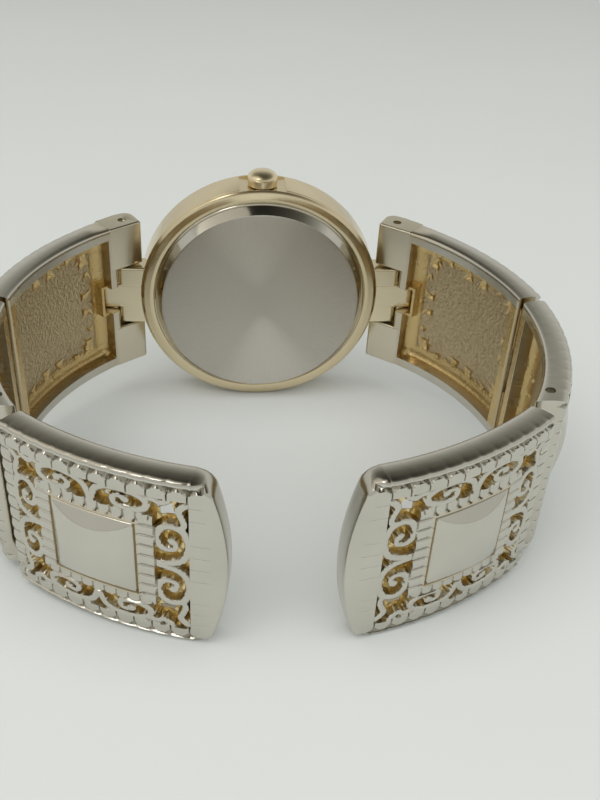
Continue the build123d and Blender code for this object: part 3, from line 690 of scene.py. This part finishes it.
def panelMesh(name, panel):
    print("panel", name)
    runs, heights = gridOf(panel)
    gridRun, gridH = np.meshgrid(runs, heights, indexing="ij")
    s, up = (gridRun - panel["middle"]) * panel["scale"], np.abs(gridH)
    outer, pit = relief(panel, gridRun, s, gridH)
    run, h, onEdge = snapped(panel, gridRun, gridH, pit, runs, heights)
    outer = np.where(onEdge, np.maximum(outer, scroll["top"] - scroll["round"]), outer)
    if panel["wrap"]:
        outer = outer + swellOf(run)
    inner, inside, stipple = trayOf(panel, gridRun, up, pit)
    keep = keptCells(panel, pit, inside)
    corner = None
    if panel["free"]:
        run, corner = bowed(panel, run, h)
    # Gold lies in the pits, in the seam round the stud, in the tray, and where a tray's end meets a hinge
    fromMiddle = np.maximum(np.abs(s), up)
    hem = (fromMiddle > square["stud"] + tiny) & (fromMiddle < square["lip"] + tiny)
    firstEnd, lastEnd = gridRun < panel["tray"][0], gridRun > panel["tray"][1]
    hingeEnds = (up < tray["rail"]) & (lastEnd | (firstEnd & (not panel["wrap"]))) & (not panel["free"])
    outerGilt = np.maximum(fade(pit, *gilding["pit"]), gilding["hem"] * hem)
    innerGilt = np.maximum(fade(inner, *gilding["tray"]), hingeEnds)
    warmth = gilding["warm"] * (1 - fade(run, *gilding["warmRun"])) * panel["wrap"]
    grain = np.maximum(stipple, gilding["grain"] * innerGilt)
    # Painted light: the deeper the outer face lies, the more of the paler pit gold it takes
    deep = fade(-outer, *gilding["deep"])
    columns, rows, gilts = wallColumns(panel, run, h, outer, inner, warmth, corner)
    faces = skin(keep, columns)
    points = np.vstack([np.stack([run, h, z], -1).reshape(-1, 3) for z in (outer, inner)] + [rows])
    none, bare = np.zeros(run.size), np.zeros(len(rows))
    fields = {"gilt": [outerGilt.ravel(), np.maximum(innerGilt, warmth).ravel(), gilts],
              "stipple": [none, grain.ravel(), bare], "deep": [deep.ravel(), none, bare]}
    # Slanted ends: the run shifts with depth close to the end
    depth = -points[:, 2] / band["thick"]
    for slant, gap in zip(panel["slant"], (points[:, 0] - panel["low"], panel["high"] - points[:, 0])):
        points[:, 0] += slant * depth * np.clip(1 - gap / wall["slantLong"], 0, 1)
    used = np.unique(faces)
    points = points[used]
    fields = {key: np.concatenate(values)[used] for key, values in fields.items()}
    addPair(name, bend(panel, points[:, 0], points[:, 1], points[:, 2]), np.searchsorted(used, faces).tolist(),
            panel["body"], "silver_panel", [panel["body"] + "_panel"], fields=fields, crease=42)


joint = (19.3, 2.2)
for name, panel in panels.items():
    joint = planOf(panel, joint)
    panelMesh(name, panel)
print("panels ready")


def turned(profile, count):
    # A form turned about the case axis from pairs of radius and y; a radius of 0 closes it
    spread = [2 * math.pi * k / count for k in range(count)]
    points, rings, faces = [], [], []
    for radius, y in profile:
        if radius == 0:
            rings.append([len(points)] * count)
            points.append((0, y, 0))
        else:
            rings.append(list(range(len(points), len(points) + count)))
            points += [(radius * math.cos(t), y, radius * math.sin(t)) for t in spread]
    pairs = list(zip(rings[:-1], rings[1:]))
    if profile[0][0] and profile[-1][0]:
        pairs.append((rings[-1], rings[0]))
    for a, b in pairs:
        for k in range(count):
            n = (k + 1) % count
            faces.append(tuple(dict.fromkeys((a[k], b[k], b[n], a[n]))))
    return points, faces


def softened(corners, count=6):
    # Rounds each corner of a closed outline by its own radius: (a, b, radius)
    out = []
    for k, (a, b, radius) in enumerate(corners):
        if radius == 0:
            out.append((a, b))
            continue
        here = np.array((a, b), float)
        before = np.array(corners[k - 1][:2], float) - here
        after = np.array(corners[(k + 1) % len(corners)][:2], float) - here
        before, after = before / np.linalg.norm(before), after / np.linalg.norm(after)
        half = math.acos(max(-1, min(1, before @ after))) / 2
        reach = radius / math.tan(half)
        centre = here + (before + after) / np.linalg.norm(before + after) * radius / math.sin(half)
        first, last = here + before * reach - centre, here + after * reach - centre
        for t in np.linspace(0, 1, count):
            arm = first * (1 - t) + last * t
            out.append(tuple(centre + arm / np.linalg.norm(arm) * radius))
    return out


def prism(outline, low, high):
    # An outline in the bracelet's plan, drawn anticlockwise, raised from low to high
    count = len(outline)
    points = [(x, y, low) for x, y in outline] + [(x, y, high) for x, y in outline]
    faces = [tuple(range(count - 1, -1, -1)), tuple(range(count, 2 * count))]
    faces += [(k, (k + 1) % count, (k + 1) % count + count, k + count) for k in range(count)]
    return points, faces


def join(*forms):
    points, faces = [], []
    for some, turns in forms:
        faces += [tuple(v + len(points) for v in face) for face in turns]
        points += list(some)
    return points, faces


def bevel(piece, width, segments=3, angle=35):
    modifier = piece.modifiers.new("bevel", "BEVEL")
    modifier.width = width * mm
    modifier.segments = segments
    modifier.limit_method = "ANGLE"
    modifier.angle_limit = math.radians(angle)
    modifier.harden_normals = True


def ring(centre, radius, count=32):
    spread = [2 * math.pi * k / count for k in range(count)]
    return [(centre[0] + radius * math.cos(t), centre[1] + radius * math.sin(t)) for t in spread]


def carve(piece, cutter, flatten=False, crease=32):
    # Applies the piece's modifiers and cuts the cutter away
    modifier = piece.modifiers.new("carve", "BOOLEAN")
    modifier.operation = "DIFFERENCE"
    modifier.solver = "EXACT"
    modifier.object = cutter
    bpy.context.view_layer.update()
    found = bpy.context.evaluated_depsgraph_get()
    mesh = bpy.data.meshes.new_from_object(piece.evaluated_get(found))
    piece.modifiers.clear()
    piece.data = mesh
    mesh.set_sharp_from_angle(angle=math.radians(crease))
    bpy.data.objects.remove(cutter)
    if flatten:
        piece.modifiers.new("flatten", "WEIGHTED_NORMAL").keep_sharp = True


# Hinges: knuckles, the end panel's barrel on its arm, the half-round blocks that wrap the case's lug, and pins
# that end in small wells. "rise" keeps the blocks' faces clear of the panel's
hinge = {"knuckle": 1.2, "middle": 3.2, "gap": 0.2, "top": 9.45, "barrel": 1.0, "back": 3.0, "drop": 0.55,
         "arm": 1.1, "armRun": 2.25, "armLift": 0.95, "pin": 0.5, "pinEnd": 10.35}
block = {"root": 3.2, "shoulder": 0.6, "nose": -2.15, "noseDrop": 0.1, "outerRound": 1.5, "innerRound": 0.35,
         "slot": 4.7, "rise": 0.012, "sink": 0.01}
softHinges = {"InnerKnuckles": 0.1, "SideKnuckle": 0.1, "EndBarrel": 0.08, "WrapBlocks": 0.3}
well = {"clear": 0.08, "count": 20, "deep": 0.7, "tall": 1.0}
inner, side, end = (panels[name] for name in ("InnerPanel", "SidePanel", "EndPanel"))


def atRun(panel, run, offset):
    return tuple(bend(panel, run, 0.0, offset)[:2])


def bothWays(outline, low, high):
    # Two prisms that mirror each other across the band's middle
    return join(prism(outline, low, high), prism(outline, -high, -low))


def addHinges():
    knuckle, top = ring(side["start"], hinge["knuckle"]), hinge["top"]
    addPair("InnerKnuckles", *bothWays(knuckle, hinge["middle"] + hinge["gap"], top), "inner", "silver_panel",
            paint="hinge_gold")
    addPair("SideKnuckle", *prism(knuckle, -hinge["middle"], hinge["middle"]), "side", "silver_panel",
            paint="hinge_gold")
    front = atRun(side, side["length"] - hinge["back"], -band["thick"] / 2 - hinge["drop"])
    root = np.array(atRun(end, hinge["armRun"], -band["thick"] + hinge["armLift"]))
    arm = root - front
    normal = np.array((-arm[1], arm[0])) / np.linalg.norm(arm) * hinge["arm"] / 2
    strap = [tuple(front - normal), tuple(root - normal), tuple(root + normal), tuple(front + normal)]
    addPair("EndBarrel", *join(prism(ring(front, hinge["barrel"]), -top, top), prism(strap, -top, top)),
            "end", "silver_panel")
    # The wrap blocks, drawn as (run, offset) and mapped onto the panel's arc
    far, under = swellOf(0.0) - block["sink"], -band["thick"] - block["rise"]
    outline = softened([(block["root"], swellOf(block["root"]) - block["sink"], 0), (block["shoulder"], far, 0),
                        (block["nose"], far - block["noseDrop"], block["outerRound"]),
                        (block["nose"], under, block["innerRound"]), (block["root"], under, 0)])
    plan = [atRun(inner, run, offset) for run, offset in outline]
    addPair("WrapBlocks", *bothWays(plan, block["slot"], band["half"] + block["rise"]), "inner", "silver_panel",
            paint="wrap_gold")
    for name, point, body, node in (("LugPin", inner["start"], "inner", "lug_pin"),
                                    ("FrontPin", front, "side", "front_pin")):
        addPair(name, *prism(ring(point, hinge["pin"]), -hinge["pinEnd"], hinge["pinEnd"]), body, "pin_steel", [node])
    for name, width in softHinges.items():
        for prefix, mirror in sides:
            bevel(bpy.data.objects[prefix + name], width)
    for name, point in (("WrapBlocks", inner["start"]), ("SidePanel", front)):
        spot = ring(point, hinge["pin"] + well["clear"], well["count"])
        for prefix, mirror in sides:
            outline = [(mirror * x, y) for x, y in spot][::mirror]
            for low in (-band["half"] + well["deep"] - well["tall"], band["half"] - well["deep"]):
                cutter = plainObject("well", *prism(outline, low, low + well["tall"]))
                carve(bpy.data.objects[prefix + name], cutter, low > 0 and name == "WrapBlocks")


addHinges()
print("hinges ready")

# Case: turned rim, side and bezel as (radius, y, rounding), lug blocks with tongues, and the crown's recess
case = {"rim": [(14.4, 0.9, 0), (14.75, 0.3, 0), (14.95, -0.1, 0.05), (15.25, -0.36, 0.12), (15.7, -0.43, 0.3),
                (16.55, -0.28, 0.4), (16.86, 0.0, 0.1), (16.8, 0.1, 0.03), (17.0, 0.22, 0.1), (17.0, 4.9, 0.9),
                (16.6, 5.55, 0.3), (16.2, 5.85, 0.1), (15.9, 5.8, 0.05), (14.2, 6.2, 0.3), (13.55, 6.1, 0.15),
                (13.5, 3.65, 0.05), (14.3, 3.6, 0.05)],
        "count": 224,
        "recess": {"half": 3.15, "floor": 16.55, "top": 20, "low": 0.12, "high": 4.6},
        "lug": {"inside": 15.6, "reach": 19.3, "y": 2.2, "radius": 1.7, "tall": 8.9, "steps": 25,
                "bevel": (0.3, 4, 50)},
        "tongue": {"inside": 16.8, "reach": 22.3, "low": 0.46, "high": 1.5, "tall": 3.7, "bevel": (0.22, 3)}}


def boxPlan(left, right, low, high):
    return [(left, low), (right, low), (right, high), (left, high)]


def addCase():
    body = addPiece("caseRing", *turned(softened(case["rim"]), case["count"]), "head", "gold_case", ["case_body"])
    recess, lug, tongue = case["recess"], case["lug"], case["tongue"]
    plan = boxPlan(-recess["half"], recess["half"], recess["low"], recess["high"])
    carve(body, plainObject("recessCutter", *prism(plan, recess["floor"], recess["top"])))
    arc = np.radians(np.linspace(-90, 90, lug["steps"]))
    lugPlan = [(lug["inside"], lug["y"] - lug["radius"])]
    lugPlan += [(lug["reach"] + lug["radius"] * math.cos(a), lug["y"] + lug["radius"] * math.sin(a)) for a in arc]
    lugPlan.append((lug["inside"], lug["y"] + lug["radius"]))
    tonguePlan = boxPlan(tongue["inside"], tongue["reach"], tongue["low"], tongue["high"])
    for prefix, mirror in sides:
        for name, plan, look in (("LugBlock", lugPlan, lug), ("LugTongue", tonguePlan, tongue)):
            outline = [(mirror * x, y) for x, y in plan][::mirror]
            # Lugs and tongues take the lighter copy of the case's gold: painted light, not a different metal
            piece = addPiece(prefix + name, *prism(outline, -look["tall"] / 2, look["tall"] / 2), "head",
                             "gold_case", ["case_body"], paint="lug_gold_painted_light")
            bevel(piece, *look["bevel"])


addCase()

# Case back: polished flange and bevel round a brushed disc, as (radius, y), both closed on the axis
back = {"ring": [(0, 0.9), (15.13, 0.9), (15.13, -0.28), (15.06, -0.36), (14.93, -0.42), (14.9, -0.5),
                 (14.86, -0.6), (14.08, -1.66), (14.03, -1.74), (13.95, -1.5), (0, -1.5)],
        "disc": [(0, -1.0), (14.0, -1.0), (14.025, -1.74), (13.93, -1.78), (13.8, -1.79), (0, -1.79)]}


def addBack():
    for name, profile, paint in (("caseBackRing", back["ring"], "back_polish"), ("caseBackDisc", back["disc"], None)):
        addPiece(name, *turned(profile[::-1], case["count"]), "head", "back_steel", ["case_back"], crease=20,
                 paint=paint)


addBack()

# Crown: a plain gold cap with a shallow groove under its dome, as (radius, height above the case's axis)
crown = {"profile": [(0, 16.65), (1.85, 16.65), (2.05, 16.85), (2.05, 17.82), (1.98, 17.9), (1.93, 17.92),
                     (1.97, 17.96), (1.9, 18.1), (1.6, 18.36), (1.1, 18.57), (0.55, 18.66), (0, 18.68)],
         "y": 2.3, "count": 72}


def addCrown():
    points, faces = turned(crown["profile"], crown["count"])
    upright = [(x, crown["y"] - z, y) for x, y, z in points]
    addPiece("crownCap", upright, faces, "crown_and_stem", "gold_case", ["crown"], crease=25, paint="crown_gold")


addCrown()
print("case ready")

# Dial side: minute ticks between the hour markers, and soft edges on the solids that stay
dialLook = {"face": 3.6, "sink": 0.01, "ticks": 60, "inner": 12.55, "outer": 13.25, "wide": 0.13, "high": 0.05}
softEdges = {"hour_markers": 0.06, "hour_hand": 0.04, "minute_hand": 0.04, "crystal": 0.12}


def addTicks():
    forms = []
    half = dialLook["wide"] / 2
    for k in range(dialLook["ticks"]):
        if k % 5 == 0:
            continue
        t = 2 * math.pi * k / dialLook["ticks"]
        out, across = np.array((math.cos(t), math.sin(t))), np.array((-math.sin(t), math.cos(t)))
        base = [out * dialLook[key] + sign * half * across
                for key, sign in (("inner", -1), ("outer", -1), ("outer", 1), ("inner", 1))]
        levels = (dialLook["face"] - dialLook["sink"], dialLook["face"] + dialLook["high"])
        points = [(p[0], y, p[1]) for y in levels for p in base]
        faces = [(0, 1, 2, 3), (7, 6, 5, 4)] + [(n + 4, (n + 1) % 4 + 4, (n + 1) % 4, n) for n in range(4)]
        forms.append((points, faces))
    addPiece("minuteTicks", *join(*forms), "head", "gold_trim")


addTicks()
for name, width in softEdges.items():
    bevel(frame["nodes"][name], width, 2)
print("dial ready")

# Camera at the photograph's viewing angle, in the bracelet's frame, with its focal length in rows of pixels
view = {"eye": (-8.5369, -125.6252, 75.3519), "yaw": 6.962, "pitch": 36.552, "roll": 3.697, "focal": 1007.83,
        "rows": 800, "sensor": 36}


def addCamera():
    yaw, pitch, roll = (math.radians(view[key]) for key in ("yaw", "pitch", "roll"))
    forward = np.array((math.sin(yaw) * math.cos(pitch), math.cos(yaw) * math.cos(pitch), -math.sin(pitch)))
    right = np.array((math.cos(yaw), -math.sin(yaw), 0))
    up = np.cross(right, forward)
    right, up = (math.cos(roll) * right + math.sin(roll) * up, -math.sin(roll) * right + math.cos(roll) * up)
    eye = np.array(view["eye"])
    origin, *tips = [Vector(p) for p in toPart([eye, eye + right, eye + up, eye - forward])]
    camera = bpy.data.objects.new("camera", bpy.data.cameras.new("camera"))
    turn = Matrix([(tip - origin).normalized() for tip in tips]).transposed()
    camera.matrix_world = Matrix.Translation(origin) @ turn.to_4x4()
    camera.data.sensor_width = view["sensor"]
    camera.data.lens = view["focal"] * view["sensor"] / view["rows"]
    camera.data.clip_start = 0.005
    bpy.context.collection.objects.link(camera)
    bpy.context.scene.camera = camera


addCamera()

# Floor: a plain pale sheet, wide enough for every view, that fades into the same pale backdrop
studio = {"floor": (0.645, 0.672, 0.662), "vary": 0.03, "cloud": 9.0, "rough": 0.6, "backdrop": (0.60, 0.62, 0.59),
          "size": 4.0, "cells": 24, "fade": (0.35, 1.1)}


def addFloor():
    cells, row = range(studio["cells"]), studio["cells"] + 1
    places = np.linspace(-studio["size"], studio["size"], row)
    points = [(x, y, 0) for x in places for y in places]
    faces = [(k * row + j, (k + 1) * row + j, (k + 1) * row + j + 1, k * row + j + 1) for k in cells for j in cells]
    mesh = bpy.data.meshes.new("floor")
    mesh.from_pydata(points, [], faces)
    floor = bpy.data.objects.new("floor", mesh)
    bpy.context.collection.objects.link(floor)
    paint = Paint("paleFloor")
    shades = [tuple(share * v for v in studio["floor"]) for share in (1 - studio["vary"], 1 + studio["vary"])]
    lit = paint.shader(Base_Color=paint.mix(paint.noise(studio["cloud"], 2.0), *shades), Roughness=studio["rough"])
    far = paint.vector("LENGTH", paint.where(), out="Value")
    glow = paint.make("ShaderNodeEmission", {}, colour(studio["backdrop"]), 1.0)
    blend = paint.make("ShaderNodeMixShader", {}, far.ramp(*studio["fade"]), lit, glow)
    paint.make("ShaderNodeOutputMaterial", {}, blend, out=None)
    mesh.materials.append(paint.material)
    floor.location.z = float(cadLow[2])


addFloor()

# Soft light: a broad lamp overhead that the metal doesn't mirror, a window on the left that it does, and a small
# lamp beside it for glints
lamps = {
    "overhead": {"place": (0.0, -0.40, 0.74), "aim": (0.0, -0.02, 0.02), "size": 1.60, "power": 10.2,
                 "tint": (1.0, 1.0, 1.0), "mirrored": False},
    "window": {"place": (-0.47, -0.14, 0.76), "aim": (0.0, 0.0, 0.02), "size": 0.80, "power": 0.9,
               "tint": (1.0, 0.93, 0.80), "mirrored": True},
    "glint": {"place": (-0.36, -0.34, 0.72), "aim": (0.0, 0.0, 0.02), "size": 0.22, "power": 0.34,
              "tint": (1.0, 1.0, 1.0), "mirrored": True},
}
# What the metal mirrors, from the horizon up to a dark ceiling
room = [(0.0, (0.55, 0.55, 0.52)), (0.48, (0.68, 0.68, 0.64)), (0.64, (0.34, 0.34, 0.30)),
        (0.80, (0.12, 0.115, 0.095)), (1.0, (0.022, 0.02, 0.016))]


def addLamps():
    for name, look in lamps.items():
        light = bpy.data.lights.new(name, "AREA")
        light.shape = "DISK"
        light.size = look["size"]
        light.energy = look["power"]
        light.color = look["tint"]
        lamp = bpy.data.objects.new(name, light)
        lamp.location = look["place"]
        lamp.rotation_euler = (Vector(look["place"]) - Vector(look["aim"])).to_track_quat("Z", "Y").to_euler()
        lamp.visible_glossy = look["mirrored"]
        bpy.context.collection.objects.link(lamp)


def addRoom():
    world = bpy.data.worlds.new("room")
    world.use_nodes = True
    bpy.context.scene.world = world
    sky = Paint("room", world.node_tree)
    direction = sky.make("ShaderNodeTexCoord", {}, out="Generated")
    height = sky.make("ShaderNodeSeparateXYZ", {}, direction, out="Z")
    tone = sky.make("ShaderNodeValToRGB", {"stops": room}, height)
    seen = sky.make("ShaderNodeLightPath", {}, out="Is Camera Ray")
    shade = sky.make("ShaderNodeBackground", {}, sky.mix(seen, tone, studio["backdrop"]), 1.0)
    sky.make("ShaderNodeOutputWorld", {}, shade, out=None)


addLamps()
addRoom()
bpy.context.scene.view_settings.view_transform = "Standard"
print("stage ready")
